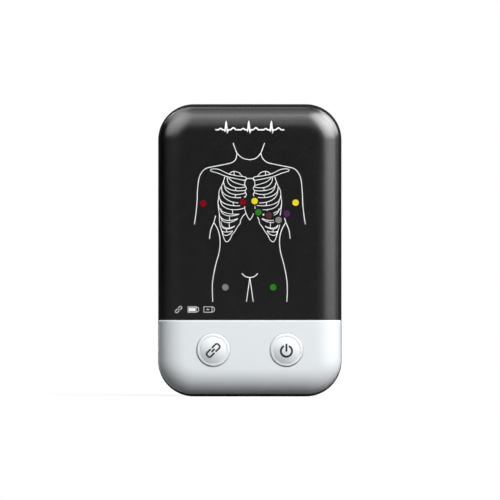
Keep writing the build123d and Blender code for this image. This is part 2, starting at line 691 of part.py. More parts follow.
def button_cap(x, z):
    """Domed cap with a fine groove inside its rim, a hollow back, a post, a flange and a key."""
    face_y = FRONT_Y - BUTTON_PROUD
    rim_r = BUTTON_R - BUTTON_RIM_IN
    crown_r = rim_r - BUTTON_GROOVE_WIDE
    groove_y = face_y + BUTTON_GROOVE_DEEP
    round_r = BUTTON_R - BUTTON_RIM_ROUND
    rim_y = face_y + BUTTON_RIM_FALL
    wall_y = rim_y + BUTTON_RIM_ROUND
    hollow_r = BUTTON_R - BUTTON_WALL
    roof_y = face_y + BUTTON_WALL
    crown_y = face_y - BUTTON_DOME
    profile = [
        TangentArc((0, crown_y), (crown_r, face_y), tangent=(1, 0)),
        Polyline(
            (crown_r, face_y),
            (crown_r, groove_y),
            (rim_r, groove_y),
            (rim_r, face_y),
            (round_r, rim_y),
        ),
        TangentArc((round_r, rim_y), (BUTTON_R, wall_y), tangent=(1, 0)),
        Polyline(
            (BUTTON_R, wall_y),
            (BUTTON_R, FLANGE_FRONT_Y),
            (FLANGE_R, FLANGE_FRONT_Y),
            (FLANGE_R, FLANGE_REAR_Y),
            (hollow_r, FLANGE_REAR_Y),
            (hollow_r, roof_y),
            (BUTTON_POST_R, roof_y),
            (BUTTON_POST_R, PLUNGER_FRONT_Y),
            (0, PLUNGER_FRONT_Y),
            (0, crown_y),
        ),
    ]
    cap = revolve(make_face(profile), Axis.Y)
    key_tall = 2 * KEY_OUT
    cap += brick(0, FLANGE_R + KEY_OUT - key_tall / 2, KEY_WIDE, key_tall, FLANGE_FRONT_Y, FLANGE_REAR_Y)
    return Pos(x, 0, z) * cap


def switch_body(x, z):
    """Key switch on the front board, with a round well for its plunger."""
    body = brick(x, z, SWITCH_SIDE, SWITCH_SIDE, SWITCH_FRONT_Y, FRONT_BOARD_Y)
    well_deep = PLUNGER_IN + BUTTON_TRAVEL + PLUNGER_GAP
    return body - rod(x, z, PLUNGER_R + PLUNGER_GAP, SWITCH_FRONT_Y, SWITCH_FRONT_Y + well_deep)


def switch_plunger(x, z):
    """Plunger that the button's post presses."""
    return rod(x, z, PLUNGER_R, PLUNGER_FRONT_Y, SWITCH_FRONT_Y + PLUNGER_IN)


def button_seals():
    """Soft square-cut rings in the lower cover's grooves, one round each button."""
    front_y = SEAL_RING_Y - SEAL_RING_HALF
    rear_y = SEAL_RING_Y + SEAL_RING_HALF
    rings = []
    for x, z in BUTTON_PLACES:
        ring = rod(x, z, SEAL_RING_R + SEAL_RING_HALF, front_y, rear_y)
        rings.append(ring - rod(x, z, SEAL_RING_R - SEAL_RING_HALF, front_y, rear_y))
    return group(rings)


def electrode_window(x, z):
    """Coloured window: a short rod flush with the cover, and a flange behind it."""
    window = rod(x, z, WINDOW_R, UPPER_FACE_Y, UPPER_INNER_Y)
    return window + rod(x, z, WINDOW_FLANGE_R, UPPER_INNER_Y, WINDOW_BACK_Y)


def light_baffle():
    """Opaque plate that holds the windows, with a tube down to each lamp."""
    outline = Pos(0, (BAFFLE_LOW_Z + BAFFLE_HIGH_Z) / 2) * RectangleRounded(
        2 * BAFFLE_HALF_W, BAFFLE_HIGH_Z - BAFFLE_LOW_Z, BAFFLE_ROUND
    )
    baffle = slab(outline, WINDOW_BACK_Y, WINDOW_BACK_Y + BAFFLE_PLATE)
    for x, z in ELECTRODES.values():
        baffle += rod(x, z, BAFFLE_TUBE_R, WINDOW_BACK_Y, FRONT_BOARD_Y)
    for x, z in ELECTRODES.values():
        baffle -= rod(x, z, BAFFLE_BORE_R, WINDOW_BACK_Y, FRONT_BOARD_Y)
    return baffle


def lamps(places):
    """Small surface lamps on the front board."""
    front_y = FRONT_BOARD_Y - LAMP_TALL
    return group([brick(x, z, LAMP_LONG, LAMP_WIDE, front_y, FRONT_BOARD_Y) for x, z in places])


def notched(board, front_y, back_y, boss_r):
    """A board with round notches that clear the screw bosses."""
    for x, z in BOSSES:
        board -= rod(x, z, boss_r + NOTCH_GAP, front_y, back_y)
    return board


def front_board():
    """Board that carries the keys and lamps, screwed to both covers."""
    inset = TONGUE_FROM_EDGE + TONGUE_THICK + BOARD_GAP
    board = slab(casing_outline(inset), FRONT_BOARD_Y, FRONT_BOARD_REAR_Y)
    board &= between_heights(0, FRONT_BOARD_TOP_Z)
    board = notched(board, FRONT_BOARD_Y, FRONT_BOARD_REAR_Y, COVER_BOSS_R)
    for x, z in FRONT_POSTS:
        board -= rod(x, z, BOARD_SCREW_R + BOARD_HOLE_GAP, FRONT_BOARD_Y, FRONT_BOARD_REAR_Y)
    return board


def main_board():
    """Board that carries the lead socket, charging port, radio and battery header."""
    inset = WALL + MAIN_BOARD_EDGE_GAP
    board = slab(casing_outline(inset), MAIN_FRONT_Y, MAIN_REAR_Y)
    board &= between_heights(MAIN_BOARD_LOW_Z, MAIN_BOARD_TOP_Z)
    board = notched(board, MAIN_FRONT_Y, MAIN_REAR_Y, BOSS_R)
    for x, z in MAIN_POSTS:
        board -= rod(x, z, BOARD_SCREW_R + BOARD_HOLE_GAP, MAIN_FRONT_Y, MAIN_REAR_Y)
    return board


def board_screws(places, seat_y, board_thick, points_back):
    """Small screws whose heads sit on a board and whose tips bite into posts."""
    screws = []
    for x, z in places:
        if points_back:
            head = rod(x, z, BOARD_SCREW_HEAD_R, seat_y - BOARD_SCREW_HEAD_TALL, seat_y)
            shank = rod(x, z, BOARD_SCREW_R, seat_y, seat_y + board_thick + BOARD_SCREW_BITE)
        else:
            head = rod(x, z, BOARD_SCREW_HEAD_R, seat_y, seat_y + BOARD_SCREW_HEAD_TALL)
            shank = rod(x, z, BOARD_SCREW_R, seat_y - board_thick - BOARD_SCREW_BITE, seat_y)
        screws.append(head + shank)
    return group(screws)


def chip(place, from_z):
    """Flat component on the front of the main board, placed by its distance below a height."""
    x, below, wide, tall, thick = place
    return brick(x, from_z - below, wide, tall, MAIN_FRONT_Y - thick, MAIN_FRONT_Y)


def shield_can(place, from_z, base_y):
    """Pressed lid over components, open towards the board, placed by its distance below a height."""
    x, below, wide, tall, thick = place
    z = from_z - below
    front_y = base_y - thick
    can = brick(x, z, wide, tall, front_y, base_y)
    return can - brick(x, z, wide - 2 * CAN_SKIN, tall - 2 * CAN_SKIN, front_y + CAN_SKIN, base_y)


def board_link(front_y, back_y):
    """One half of the link between the two boards."""
    wide, tall = LINK_SIZE
    return brick(0, LINK_Z, wide, tall, front_y, back_y)


def sounder():
    """Round sounder with a small port, on the back of the main board."""
    z = MAIN_BOARD_TOP_Z - SOUNDER_BELOW_TOP
    top_y = MAIN_REAR_Y + SOUNDER_TALL
    body = rod(SOUNDER_X, z, SOUNDER_R, MAIN_REAR_Y, top_y)
    return body - rod(SOUNDER_X, z, SOUNDER_PORT_R, top_y - SOUNDER_PORT_DEEP, top_y)


def lead_socket_shell():
    """Steel flange and D-shaped shell of the lead socket."""
    flange = Pos(LEAD_X, MAIN_BOARD_Y) * RectangleRounded(FLANGE_WIDE, FLANGE_TALL, FLANGE_ROUND)
    shell = column(flange, FLANGE_BACK_Z, FLANGE_FRONT_Z)
    shell += column(d_outline(), FLANGE_FRONT_Z, SOCKET_TOP_Z)
    shell -= column(d_outline(-D_SKIN), FLANGE_BACK_Z, SOCKET_TOP_Z)
    for x, y in hex_places():
        shell -= column(Pos(x, y) * Circle(STUD_R + STUD_GAP), FLANGE_BACK_Z, FLANGE_FRONT_Z)
    return shell


def contact_rows():
    """Centre of each contact in x and y, with the side of the board it is on."""
    rows = []
    for side, count in zip((-1, 1), CONTACT_COUNTS):
        row_y = MAIN_BOARD_Y + side * CONTACT_ROWS_APART / 2
        for place in range(count):
            x = LEAD_X + (place - (count - 1) / 2) * CONTACT_PITCH
            rows.append((x, row_y, side))
    return rows


def lead_socket_insulator():
    """Moulded insulator with a round entry for each contact."""
    face_z = SOCKET_TOP_Z - INSULATOR_SUNK
    entry_z = face_z - CONTACT_ENTRY_DEEP
    back = Pos(LEAD_X, MAIN_BOARD_Y) * Rectangle(INSULATOR_WIDE, INSULATOR_TALL)
    body = column(back, SOCKET_BACK_Z, FLANGE_BACK_Z)
    body += column(d_outline(-D_SKIN - INSULATOR_FIT), FLANGE_BACK_Z, face_z)
    slot = CONTACT_SIDE + 2 * CONTACT_FIT
    for x, y, side in contact_rows():
        body -= column(Pos(x, y) * Circle(CONTACT_ENTRY_R), entry_z, face_z)
        body -= column(Pos(x, y) * Rectangle(slot, slot), SOCKET_BACK_Z, entry_z)
    return body


def lead_socket_contacts():
    """Contacts whose tails stand astride the main board's upper edge."""
    entry_z = SOCKET_TOP_Z - INSULATOR_SUNK - CONTACT_ENTRY_DEEP
    tail_low_z = MAIN_BOARD_TOP_Z - TAIL_LONG
    contacts = []
    for x, y, side in contact_rows():
        pin = column(Pos(x, y) * Rectangle(CONTACT_SIDE, CONTACT_SIDE), MAIN_BOARD_TOP_Z, entry_z)
        inner_y = MAIN_BOARD_Y + side * MAIN_BOARD_THICK / 2
        tail_y = inner_y + side * CONTACT_SIDE / 2
        tail = column(Pos(x, tail_y) * Rectangle(CONTACT_SIDE, CONTACT_SIDE), tail_low_z, SOCKET_BACK_Z)
        contacts.append(pin + tail)
    return group(contacts)


def lead_socket_posts():
    """Hex posts with a threaded bore for the lead plug's screws, and a stud through the flange."""
    seat_z = FLANGE_FRONT_Z + HEX_WEB
    top_z = seat_z + HEX_LONG
    stud_low_z = FLANGE_BACK_Z - NUT_TALL - STUD_PAST_NUT
    posts = []
    for x, y in hex_places():
        post = column(Pos(x, y) * hexagon(HEX_ACROSS_FLATS), seat_z, top_z)
        post += column(Pos(x, y) * Circle(STUD_R), stud_low_z, seat_z)
        posts.append(post - column(Pos(x, y) * Circle(THREAD_BORE_R), top_z - THREAD_BORE_DEEP, top_z))
    return group(posts)


def lead_socket_nuts():
    """Nuts behind the flange."""
    outline = hexagon(NUT_ACROSS_FLATS) - Circle(STUD_R + SNUG_FIT)
    low_z = FLANGE_BACK_Z - NUT_TALL
    return group([column(Pos(x, y) * outline, low_z, FLANGE_BACK_Z) for x, y in hex_places()])


def charging_port_shell():
    """Steel shell of the charging receptacle, closed at the back."""
    high_z = PORT_MOUTH_Z + PORT_LONG
    shell = column(Pos(0, PORT_Y) * SlotOverall(PORT_WIDE, PORT_TALL), PORT_MOUTH_Z, high_z)
    inside = Pos(0, PORT_Y) * SlotOverall(PORT_WIDE - 2 * PORT_SKIN, PORT_TALL - 2 * PORT_SKIN)
    return shell - column(inside, PORT_MOUTH_Z, high_z - PORT_BACK)


def charging_port_tongue():
    """Contact tongue on its base, inside the receptacle."""
    back_z = PORT_MOUTH_Z + PORT_LONG - PORT_BACK
    spare = PORT_SKIN + FIT_GAP
    base = Pos(0, PORT_Y) * SlotOverall(PORT_WIDE - 2 * spare, PORT_TALL - 2 * spare)
    tongue = column(base, back_z - PORT_TONGUE_BASE, back_z)
    blade = Pos(0, PORT_Y) * Rectangle(PORT_TONGUE_WIDE, PORT_TONGUE_THICK)
    return tongue + column(blade, PORT_MOUTH_Z + PORT_TONGUE_SHORT, back_z)


def battery_cell():
    """Flat rechargeable cell."""
    outline = Pos(0, BATTERY_Z) * RectangleRounded(BATTERY_WIDE, BATTERY_TALL, BATTERY_ROUND)
    return slab(outline, BATTERY_FRONT_Y, BATTERY_BACK_Y)


def battery_pad():
    """Foam tape between the cell and the rear shell."""
    wide = BATTERY_WIDE - 2 * PAD_MARGIN
    tall = BATTERY_TALL - 2 * PAD_MARGIN
    return brick(0, BATTERY_Z, wide, tall, BATTERY_BACK_Y, INNER_BACK_Y)


def battery_leads():
    """Two short wires from the cell to its plug, with one easy bend each way."""
    wires = []
    for side in (-1, 1):
        shift = side * LEAD_PAIR / 2
        route = [
            (LEAD_LEAVES_X + shift, LEAD_Y, BATTERY_TOP_Z),
            (LEAD_LEAVES_X + shift, LEAD_Y, BATTERY_TOP_Z + LEAD_RUN),
            (shift, LEAD_Y, BATTERY_TOP_Z + 2 * LEAD_RUN),
            (shift, LEAD_Y, BATTERY_PLUG_Z),
        ]
        turn = math.atan2(LEAD_LEAVES_X, LEAD_RUN)
        radius = LEAD_BEND * LEAD_RUN / math.tan(turn / 2)
        path = FilletPolyline(*route, radius=[radius, radius])
        print("battery lead bend radius", round(radius, 2))
        section = Plane(origin=route[0], z_dir=(0, 0, 1)) * Circle(LEAD_R)
        wires.append(sweep(section, path=path))
    return group(wires)


def battery_plug():
    """Crimp housing on the leads' ends."""
    wide, thick, tall = PLUG_SIZE
    return column(Pos(0, LEAD_Y) * Rectangle(wide, thick), BATTERY_PLUG_Z, BATTERY_PLUG_Z + tall)


def battery_header():
    """Header on the back of the main board that takes the battery plug."""
    wide, thick, tall = HEADER_SIZE
    outline = Pos(0, MAIN_REAR_Y + thick / 2) * Rectangle(wide, thick)
    return column(outline, HEADER_LOW_Z, HEADER_LOW_Z + tall)


PIECES = {
    "upper_front_cover": upper_front_cover(),
    "lower_front_cover": lower_front_cover(),
    "rear_shell": rear_shell(),
    "perimeter_seal": perimeter_seal(),
    "housing_screws": housing_screws(),
    "threaded_inserts": threaded_inserts(),
    "link_button": button_cap(*LINK_PLACE),
    "power_button": button_cap(*POWER_PLACE),
    "button_seals": button_seals(),
    "link_switch": switch_body(*LINK_PLACE),
    "power_switch": switch_body(*POWER_PLACE),
    "link_switch_plunger": switch_plunger(*LINK_PLACE),
    "power_switch_plunger": switch_plunger(*POWER_PLACE),
    "light_baffle": light_baffle(),
    "status_light_guide": status_guide(),
    "electrode_lamps": lamps(ELECTRODES.values()),
    "status_lamps": lamps([(x, STATUS_Z) for x, wide in STATUS_PADS]),
    "front_board": front_board(),
    "front_board_screws": board_screws(FRONT_POSTS, FRONT_BOARD_REAR_Y, FRONT_BOARD_THICK, False),
    "main_board": main_board(),
    "main_board_screws": board_screws(MAIN_POSTS, MAIN_FRONT_Y, MAIN_BOARD_THICK, True),
    "board_link_plug": board_link(FRONT_BOARD_REAR_Y, LINK_SPLIT_Y),
    "board_link_socket": board_link(LINK_SPLIT_Y, MAIN_FRONT_Y),
    "front_end_chip": chip(FRONT_END_CHIP, MAIN_BOARD_TOP_Z),
    "front_end_shield": shield_can(FRONT_END_CAN, MAIN_BOARD_TOP_Z, MAIN_FRONT_Y),
    "processor_chip": chip(PROCESSOR, LINK_Z),
    "radio_board": chip(RADIO_BOARD, LINK_Z),
    "radio_shield": shield_can(RADIO_CAN, LINK_Z, RADIO_BASE_Y),
    "sounder": sounder(),
    "lead_socket_shell": lead_socket_shell(),
    "lead_socket_insulator": lead_socket_insulator(),
    "lead_socket_contacts": lead_socket_contacts(),
    "lead_socket_posts": lead_socket_posts(),
    "lead_socket_nuts": lead_socket_nuts(),
    "charging_port_shell": charging_port_shell(),
    "charging_port_tongue": charging_port_tongue(),
    "battery_cell": battery_cell(),
    "battery_pad": battery_pad(),
    "battery_leads": battery_leads(),
    "battery_plug": battery_plug(),
    "battery_header": battery_header(),
}
for name, place in ELECTRODES.items():
    PIECES["window_" + name] = electrode_window(*place)

os.makedirs("parts", exist_ok=True)
for name, piece in PIECES.items():
    export_step(piece, "parts/" + name + ".step")
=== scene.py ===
import json
import math

import bmesh
import bpy
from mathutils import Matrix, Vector

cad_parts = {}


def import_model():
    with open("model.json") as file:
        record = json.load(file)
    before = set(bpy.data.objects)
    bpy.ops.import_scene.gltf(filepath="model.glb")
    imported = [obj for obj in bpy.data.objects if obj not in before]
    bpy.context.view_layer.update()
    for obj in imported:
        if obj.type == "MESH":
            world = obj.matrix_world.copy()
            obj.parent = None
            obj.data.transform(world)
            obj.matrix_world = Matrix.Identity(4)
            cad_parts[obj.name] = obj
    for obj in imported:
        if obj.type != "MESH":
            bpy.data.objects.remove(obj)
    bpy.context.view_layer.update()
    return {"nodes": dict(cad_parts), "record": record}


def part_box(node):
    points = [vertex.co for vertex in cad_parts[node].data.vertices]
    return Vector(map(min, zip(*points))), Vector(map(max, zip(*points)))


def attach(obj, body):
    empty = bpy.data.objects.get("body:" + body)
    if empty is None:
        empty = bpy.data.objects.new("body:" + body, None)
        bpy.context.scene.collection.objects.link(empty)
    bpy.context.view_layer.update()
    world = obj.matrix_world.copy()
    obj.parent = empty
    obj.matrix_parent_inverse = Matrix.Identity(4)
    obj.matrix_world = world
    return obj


# Hand-held ECG box, dressed for the studio: finishes, printed lines and signs, floor, lights and camera.
# Lengths in the drawings are in millimetres, in the frame of the model, and MM turns them into metres.
# The camera, the floor and the lamps are set in metres.

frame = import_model()
MM = 0.001

# Faces and edges of the casing that the print follows
PANEL_LOW, PANEL_HIGH = [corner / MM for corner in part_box("upper_front_cover")]
PANEL_FACE_Y = PANEL_LOW.y
PANEL_HALF_WIDE = PANEL_HIGH.x
PANEL_TOP_Z = PANEL_HIGH.z
PANEL_CORNER_R = 12.75
ROLL_IN = 9.5
ROLL_DEEP = 6.0
BUTTON_CROWN_R = 4.95
BUTTON_DOME = 0.8

# Print: how far it stands out, how deep its foot goes in, and the steps and limits of its outlines
PRINT_LIFT = 0.025
LIFT_STEP = 0.0001
PRINT_FOOT = 0.05
FINE_STEP = 0.5
HALVINGS = 8
CURVE_STEPS = 10
CAP_STEPS = 6
ARC_STEP_DEG = 9
ARC_LEAST_STEPS = 4
MITRE_LEAST = 0.5
PLACE_DIGITS = 5

# Camera: straight on, with a long lens
FRAME_WIDE = 188.35 * MM
CAMERA_AWAY = 5.0
CAMERA_X = 0.06 * MM
CAMERA_Z = 55.11 * MM
SENSOR_WIDE = 36.0
CAMERA_REACH = (0.05, 20.0)


def add_object(name, data):
    """New object in the scene, made of a mesh, a lamp or a camera."""
    made = bpy.data.objects.new(name, data)
    bpy.context.scene.collection.objects.link(made)
    return made


def add_mesh(name, mesh, finish):
    """New object made of a mesh as it was worked on, in one finish."""
    data = bpy.data.meshes.new(name)
    mesh.to_mesh(data)
    mesh.free()
    data.materials.append(finish)
    return add_object(name, data)


class Sock:
    """A socket's value in a material, which takes part in sums as a number does."""

    def __init__(self, shader, socket):
        self.shader = shader
        self.socket = socket

    def sum_node(self, operation, first, second):
        return self.shader.node("ShaderNodeMath", {"operation": operation}, {0: first, 1: second})

    def __add__(self, other):
        return self.sum_node("ADD", self, other)

    def __radd__(self, other):
        return self.sum_node("ADD", other, self)

    def __sub__(self, other):
        return self.sum_node("SUBTRACT", self, other)

    def __rsub__(self, other):
        return self.sum_node("SUBTRACT", other, self)

    def __mul__(self, other):
        return self.sum_node("MULTIPLY", self, other)

    def __rmul__(self, other):
        return self.sum_node("MULTIPLY", other, self)


class Shader:
    """A material or a world, and the one method that makes any of its nodes."""

    def __init__(self, owner):
        owner.use_nodes = True
        self.owner = owner
        self.tree = owner.node_tree
        self.tree.nodes.clear()

    def node(self, kind, settings=None, values=None, out=0):
        """Make a node: first its settings, then the values or links of its sockets."""
        made = self.tree.nodes.new(kind)
        for key, value in (settings or {}).items():
            if key == "stops":
                self.set_stops(made, value)
            else:
                setattr(made, key, value)
        for key, value in (values or {}).items():
            if isinstance(value, Sock):
                self.tree.links.new(value.socket, made.inputs[key])
            else:
                made.inputs[key].default_value = value
        return Sock(self, made.outputs[out]) if len(made.outputs) else made

    def set_stops(self, ramp_node, stops):
        ramp = ramp_node.color_ramp
        while len(ramp.elements) < len(stops):
            ramp.elements.new(1.0)
        for element, (place, value) in zip(ramp.elements, stops):
            element.position = place
            element.color = (value, value, value, 1.0)

    def place(self):
        """Position on the object, in metres."""
        return self.node("ShaderNodeTexCoord", out="Object")

    def rays(self):
        """Whether a ray is the camera's, a glossy one, or one that has come through clear plastic."""
        kinds = ("Is Camera Ray", "Is Glossy Ray", "Is Transmission Ray")
        return [self.node("ShaderNodeLightPath", out=kind) for kind in kinds]

    def noise(self, size_mm, detail=2.0, stretch=(1.0, 1.0, 1.0)):
        """Soft random value from 0 to 1, with blotches of about the given size."""
        scaled = self.node("ShaderNodeVectorMath", {"operation": "MULTIPLY"}, {0: self.place(), 1: stretch})
        scale = 1.0 / (size_mm * MM)
        return self.node("ShaderNodeTexNoise", None, {"Vector": scaled, "Scale": scale, "Detail": detail})

    def cells(self, size_mm):
        """Distance to the nearest of scattered points, as in spark-eroded mould texture."""
        values = {"Vector": self.place(), "Scale": 1.0 / (size_mm * MM)}
        return self.node("ShaderNodeTexVoronoi", None, values, out="Distance")

    def ramp(self, value, *stops):
        """Map a value through stops of place and grey."""
        return self.node("ShaderNodeValToRGB", {"stops": stops}, {"Fac": value})

    def mix_colour(self, factor, first, second):
        values = {0: factor, 6: rgba(first), 7: rgba(second)}
        return self.node("ShaderNodeMix", {"data_type": "RGBA"}, values, out=2)

    def tones(self, mask, colour, dark, pale):
        """A colour that varies between a darker and a paler shade of itself."""
        return self.mix_colour(mask, shade(colour, dark), shade(colour, pale))

    def bump(self, height, depth_mm):
        """Normal disturbed by a height from 0 to 1, at a true depth."""
        values = {"Height": height, "Strength": 1.0, "Distance": depth_mm * MM}
        return self.node("ShaderNodeBump", None, values)

    def finish(self, **sockets):
        """Close the material with one main shader; underscores in names stand for spaces."""
        values = {name.replace("_", " "): value for name, value in sockets.items()}
        surface = self.node("ShaderNodeBsdfPrincipled", None, values)
        self.node("ShaderNodeOutputMaterial", None, {"Surface": surface})
        return self.owner


def rgba(colour):
    """A colour as a socket wants it; a link passes through."""
    return colour if isinstance(colour, Sock) else (*colour, 1.0)


def shade(colour, factor):
    """A colour made lighter or darker."""
    return tuple(min(1.0, channel * factor) for channel in colour)


def grey(level):
    return (level, level, level)


def varied(mask, middle, by):
    """A value that varies by so much to each side of its middle."""
    return middle - by + mask * (2 * by)


def new_shader(name):
    return Shader(bpy.data.materials.new(name))


def moulded(name, colour, roughness, grain_mm, grain_deep_mm, spread):
    """Moulded plastic: faint cloudy colour, uneven gloss and a fine mould grain."""
    shader = new_shader(name)
    clouds = shader.noise(size_mm=6.0)
    grain = shader.noise(size_mm=grain_mm, detail=4.0)
    base = shader.tones(clouds, colour, dark=1.0 - spread, pale=1.0 + spread)
    gloss = varied(clouds, roughness, by=spread * roughness)
    normal = shader.bump(grain, depth_mm=grain_deep_mm)
    return shader.finish(Base_Color=base, Roughness=gloss, Normal=normal)


def sparked(name, colour, roughness):
    """Dark plastic from a spark-eroded mould: small pits, a little duller where it is handled."""
    shader = new_shader(name)
    pits = shader.cells(size_mm=0.45)
    handled = shader.noise(size_mm=14.0)
    fine = shader.noise(size_mm=0.3, detail=4.0)
    base = shader.tones(handled, colour, dark=0.9, pale=1.15)
    gloss = varied(handled, roughness, by=0.08)
    normal = shader.bump(pits * 0.6 + fine * 0.4, depth_mm=0.02)
    return shader.finish(Base_Color=base, Roughness=gloss, Normal=normal, IOR=1.35)


def metal(name, colour, roughness, stretch, size_mm):
    """Plated metal with drawn marks and patches of duller plating."""
    shader = new_shader(name)
    marks = shader.noise(size_mm=size_mm, detail=3.0, stretch=stretch)
    patches = shader.noise(size_mm=2.5)
    base = shader.tones(patches, colour, dark=0.88, pale=1.08)
    gloss = varied(marks, roughness, by=0.2 * roughness)
    normal = shader.bump(marks, depth_mm=0.004)
    return shader.finish(Base_Color=base, Roughness=gloss, Metallic=1.0, Normal=normal)


def board(name, colour):
    """Circuit board: solder mask over a pattern of copper tracks and vias."""
    shader = new_shader(name)
    bands = shader.noise(size_mm=1.2, detail=0.0, stretch=(1.0, 1.0, 4.0))
    tracks = shader.ramp(bands, (0.48, 0.0), (0.52, 1.0))
    vias = shader.ramp(shader.cells(size_mm=2.4), (0.10, 1.0), (0.13, 0.0))
    base = shader.tones(tracks, colour, dark=1.0, pale=1.5)
    base = shader.mix_colour(vias, base, (0.55, 0.5, 0.35))
    normal = shader.bump(tracks * 0.5 + vias * 0.5, depth_mm=0.02)
    return shader.finish(Base_Color=base, Roughness=0.38, Normal=normal)


def dyed_window(name, colour):
    """Dyed clear plastic, flush with the panel, a little cloudy inside."""
    shader = new_shader(name)
    clouds = shader.noise(size_mm=0.9)
    base = shader.tones(clouds, colour, dark=0.94, pale=1.06)
    normal = shader.bump(shader.noise(size_mm=0.25), depth_mm=0.002)
    return shader.finish(Base_Color=base, Roughness=0.2, Normal=normal, Coat_Weight=0.4, Coat_Roughness=0.12)


def printed(name, colour):
    """Screen-printed ink: dense, slightly uneven, a little duller than the panel."""
    shader = new_shader(name)
    specks = shader.noise(size_mm=0.12, detail=3.0)
    base = shader.tones(specks, colour, dark=0.96, pale=1.03)
    return shader.finish(Base_Color=base, Roughness=0.42, Normal=shader.bump(specks, depth_mm=0.003))


def gloss_panel(name, colour):
    """Deep black moulding with a satin gloss, a trace of dust and the faintest ripple of the mould."""
    shader = new_shader(name)
    ripple = shader.noise(size_mm=5.0, detail=1.0)
    dust = shader.ramp(shader.noise(size_mm=0.2), (0.66, 0.0), (0.74, 1.0)) * 0.04
    base = shader.tones(dust, colour, dark=1.0, pale=6.0)
    gloss = varied(ripple, 0.25, by=0.02) + dust
    normal = shader.bump(ripple, depth_mm=0.004)
    return shader.finish(Base_Color=base, Roughness=gloss, IOR=1.85, Normal=normal)


def clear_guide(name, colour):
    """Clear light guide with a milky haze."""
    shader = new_shader(name)
    haze = shader.noise(size_mm=1.5)
    base = shader.tones(haze, colour, dark=0.95, pale=1.0)
    gloss = varied(haze, 0.2, by=0.05)
    return shader.finish(Base_Color=base, Roughness=gloss, Transmission_Weight=0.6)


def foam(name, colour):
    """Open-cell foam tape."""
    shader = new_shader(name)
    pores = shader.cells(size_mm=0.35)
    base = shader.tones(pores, colour, dark=0.6, pale=1.2)
    return shader.finish(Base_Color=base, Roughness=0.9, Normal=shader.bump(pores, depth_mm=0.08))


# Moulded pieces: colour, roughness, size and depth of the grain in millimetres, and how far the tone varies
MOULDED = {
    "panel_white": ((0.77, 0.80, 0.825), 0.42, 0.35, 0.003, 0.012),
    "key_white": ((0.79, 0.815, 0.835), 0.4, 0.3, 0.003, 0.012),
    "seal_soft": ((0.03, 0.03, 0.032), 0.75, 0.3, 0.01, 0.05),
    "chip_black": ((0.018, 0.018, 0.019), 0.55, 0.12, 0.008, 0.15),
    "baffle_black": ((0.013, 0.013, 0.013), 0.8, 0.2, 0.01, 0.05),
    "lamp_body": ((0.85, 0.8, 0.62), 0.3, 0.1, 0.002, 0.05),
    "key_switch": ((0.025, 0.025, 0.027), 0.45, 0.15, 0.006, 0.05),
    "plunger": ((0.3, 0.04, 0.03), 0.4, 0.15, 0.004, 0.05),
    "header_cream": ((0.75, 0.68, 0.52), 0.5, 0.2, 0.006, 0.05),
    "insulator_black": ((0.014, 0.014, 0.015), 0.5, 0.2, 0.008, 0.1),
    "lead_red": ((0.5, 0.02, 0.02), 0.45, 0.4, 0.004, 0.05),
}

# Metal pieces: colour, roughness, and how the drawn marks are stretched and their size in millimetres
METAL = {
    "screw_steel": ((0.3, 0.3, 0.31), 0.34, (1.0, 1.0, 1.0), 0.4),
    "insert_brass": ((0.62, 0.44, 0.17), 0.32, (1.0, 1.0, 1.0), 0.4),
    "can_tin": ((0.62, 0.63, 0.64), 0.26, (1.0, 1.0, 8.0), 0.4),
    "contact_gold": ((0.9, 0.66, 0.27), 0.2, (1.0, 1.0, 1.0), 0.4),
    "cell_foil": ((0.7, 0.71, 0.72), 0.36, (1.0, 1.0, 3.0), 1.2),
}

# Dyes of the electrode windows
WINDOW_DYES = {
    "window_red": (0.22, 0.001, 0.004),
    "window_yellow": (0.85, 0.69, 0.013),
    "window_green": (0.02, 0.21, 0.009),
    "window_brown": (0.084, 0.026, 0.027),
    "window_grey": (0.235, 0.226, 0.208),
    "window_violet": (0.077, 0.018, 0.1),
}

# Printing inks, white on the panel and dark on the buttons
WHITE_INK = (0.88, 0.88, 0.88)
DARK_INK = (0.009, 0.012, 0.015)


def make_finishes():
    """One finish for each of the record's slots, under the slot's name."""
    finishes = {
        "panel_black": gloss_panel("panel_black", (0.0026, 0.0026, 0.0027)),
        "shell_dark": sparked("shell_dark", (0.004, 0.004, 0.0043), roughness=0.58),
        "board_green": board("board_green", (0.012, 0.09, 0.045)),
        "guide_clear": clear_guide("guide_clear", (0.85, 0.87, 0.9)),
        "foam_grey": foam("foam_grey", (0.16, 0.16, 0.17)),
    }
    for name, values in MOULDED.items():
        finishes[name] = moulded(name, *values)
    for name, values in METAL.items():
        finishes[name] = metal(name, *values)
    for name, dye in WINDOW_DYES.items():
        finishes[name] = dyed_window(name, dye)
    return finishes


def dress_model(finishes):
    """Give every CAD node the finish of its slot."""
    for part in frame["record"]["subparts"]:
        mesh = frame["nodes"][part["node"]].data
        mesh.materials.clear()
        mesh.materials.append(finishes[part["material_slot"]])


def panel_y(x, z):
    """Depth of the black panel's face at a place, flat or on the rolled edge."""
    inner_r = PANEL_CORNER_R - ROLL_IN
    past_x = abs(x) - (PANEL_HALF_WIDE - PANEL_CORNER_R)
    past_z = z - (PANEL_TOP_Z - PANEL_CORNER_R)
    away = math.hypot(max(past_x, 0.0), max(past_z, 0.0)) + min(max(past_x, past_z), 0.0) - inner_r
    share = min(max(away / ROLL_IN, 0.0), 1.0)
    return PANEL_FACE_Y + ROLL_DEEP * (1.0 - math.sqrt(1.0 - share * share))


def button_surface(node):
    """Depth of a button's domed crown at a place, and the crown's centre.

    The box is taller than the round flange, because a key on top keeps the button from turning.
    """
    low, high = [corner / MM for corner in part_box(node)]
    middle_x = (low.x + high.x) / 2
    flange_r = middle_x - low.x
    middle_z = low.z + flange_r
    bend_r = (BUTTON_CROWN_R**2 + BUTTON_DOME**2) / (2 * BUTTON_DOME)

    def crown_y(x, z):
        away = math.hypot(x - middle_x, z - middle_z)
        return low.y + bend_r - math.sqrt(bend_r**2 - away**2)

    return crown_y, middle_x, middle_z


